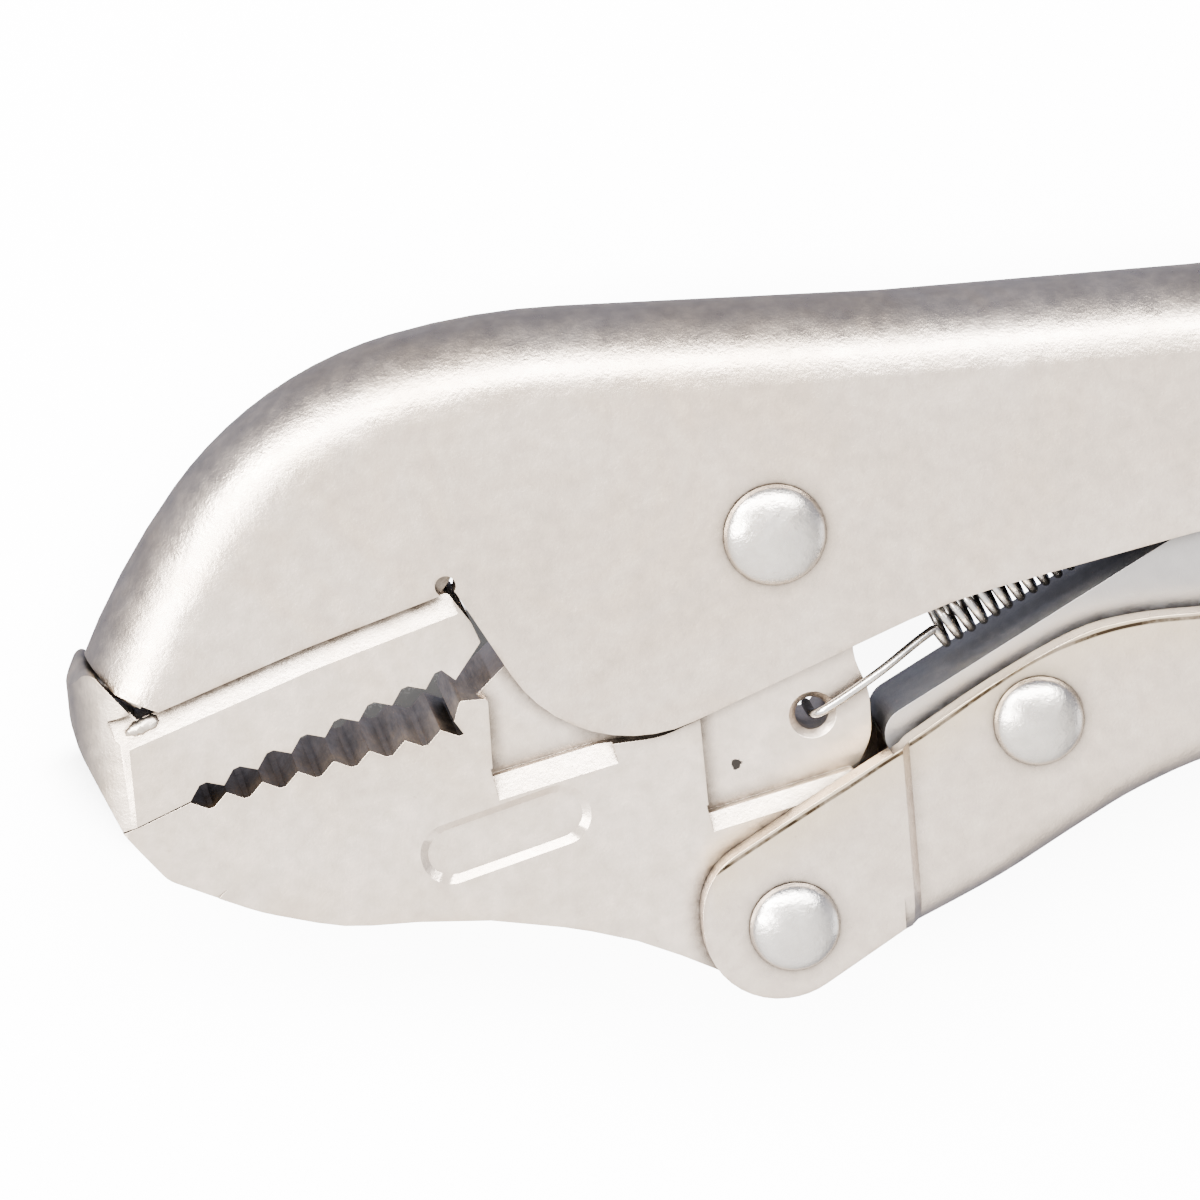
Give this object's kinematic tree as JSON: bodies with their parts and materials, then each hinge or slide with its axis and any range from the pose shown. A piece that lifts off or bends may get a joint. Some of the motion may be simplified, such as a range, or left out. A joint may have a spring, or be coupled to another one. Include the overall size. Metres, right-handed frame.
{
  "type": "locking pliers",
  "caption": "Locking pliers with serrated straight jaws, a wire cutter, an over-centre toggle, an adjusting screw with knob, a release lever and a return spring.",
  "frame": {"origin": "centre of the underside of the tool lying on its side, half way along its length and across its handles", "axes": "+X from the nose of the jaws to the knob, +Y from the lower handle to the back of the fixed handle, +Z across the thickness, up from the face it lies on"},
  "size_m": [0.25, 0.0678, 0.0227],
  "materials": {
    "handle_plate": "satin nickel plate over pressed sheet, worn along the edges",
    "jaw_steel": "satin nickel plate over forged steel, machined bevels and teeth",
    "weld_metal": "small rounded weld beads, slightly tarnished",
    "rivet_steel": "bright plated domed heads",
    "link_steel": "dull grey pressed steel",
    "lever_steel": "satin nickel plate over pressed sheet",
    "screw_steel": "plated steel with a machine-cut thread",
    "knob_steel": "plated steel with a diamond knurl",
    "spring_steel": "bright drawn wire"
  },
  "bodies": {
    "handle_and_jaw": {"fixed_handle": "handle_plate", "fixed_jaw": "jaw_steel", "jaw_weld_beads": "weld_metal", "jaw_pivot_rivet": "rivet_steel", "return_spring": "spring_steel"},
    "lower_jaw": {"lower_jaw": "jaw_steel"},
    "lower_handle": {"lower_handle": "handle_plate", "handle_pivot_rivet": "rivet_steel", "link_rivet": "rivet_steel", "lever_rivet": "rivet_steel"},
    "toggle_link": {"toggle_link": "link_steel"},
    "release_lever": {"release_lever": "lever_steel"},
    "adjusting_screw": {"adjusting_screw": "screw_steel"},
    "screw_knob": {"screw_knob": "knob_steel"}
  },
  "joints": [
    {"name": "jaw_pivot", "type": "hinge", "parent": "handle_and_jaw", "child": "lower_jaw", "pos_m": [-0.0576, 0.0113, 0.01135], "axis": [0, 0, 1], "range_deg": [0, 14], "deforming": ["return_spring"]},
    {"name": "handle_pivot", "type": "hinge", "parent": "lower_jaw", "child": "lower_handle", "pos_m": [-0.0591, -0.0268, 0.01135], "axis": [0, 0, 1], "range_deg": [-44.6, 0]},
    {"name": "link_pivot", "type": "hinge", "parent": "lower_handle", "child": "toggle_link", "pos_m": [-0.034, -0.0098, 0.01135], "axis": [0, 0, 1], "range_deg": [0, 55.1]},
    {"name": "lever_pivot", "type": "hinge", "parent": "lower_handle", "child": "release_lever", "pos_m": [0.0284, -0.0079, 0.01135], "axis": [0, 0, -1], "range_deg": [0, 3.2]},
    {"name": "screw_travel", "type": "slide", "parent": "handle_and_jaw", "child": "adjusting_screw", "axis": [1, 0, 0], "range_m": [0, 0.012]},
    {"name": "knob_turn", "type": "hinge", "parent": "adjusting_screw", "child": "screw_knob", "pos_m": [0.115, 0.0209, 0.01135], "axis": [1, 0, 0], "range_deg": [0, 2882]}
  ],
  "couplings": [
    {"joint": "handle_pivot", "follows": "jaw_pivot", "ratio": -3.1786},
    {"joint": "link_pivot", "follows": "jaw_pivot", "ratio": 3.9286},
    {"joint": "knob_turn", "follows": "screw_travel", "rad_per_m": 4188.8}
  ]
}
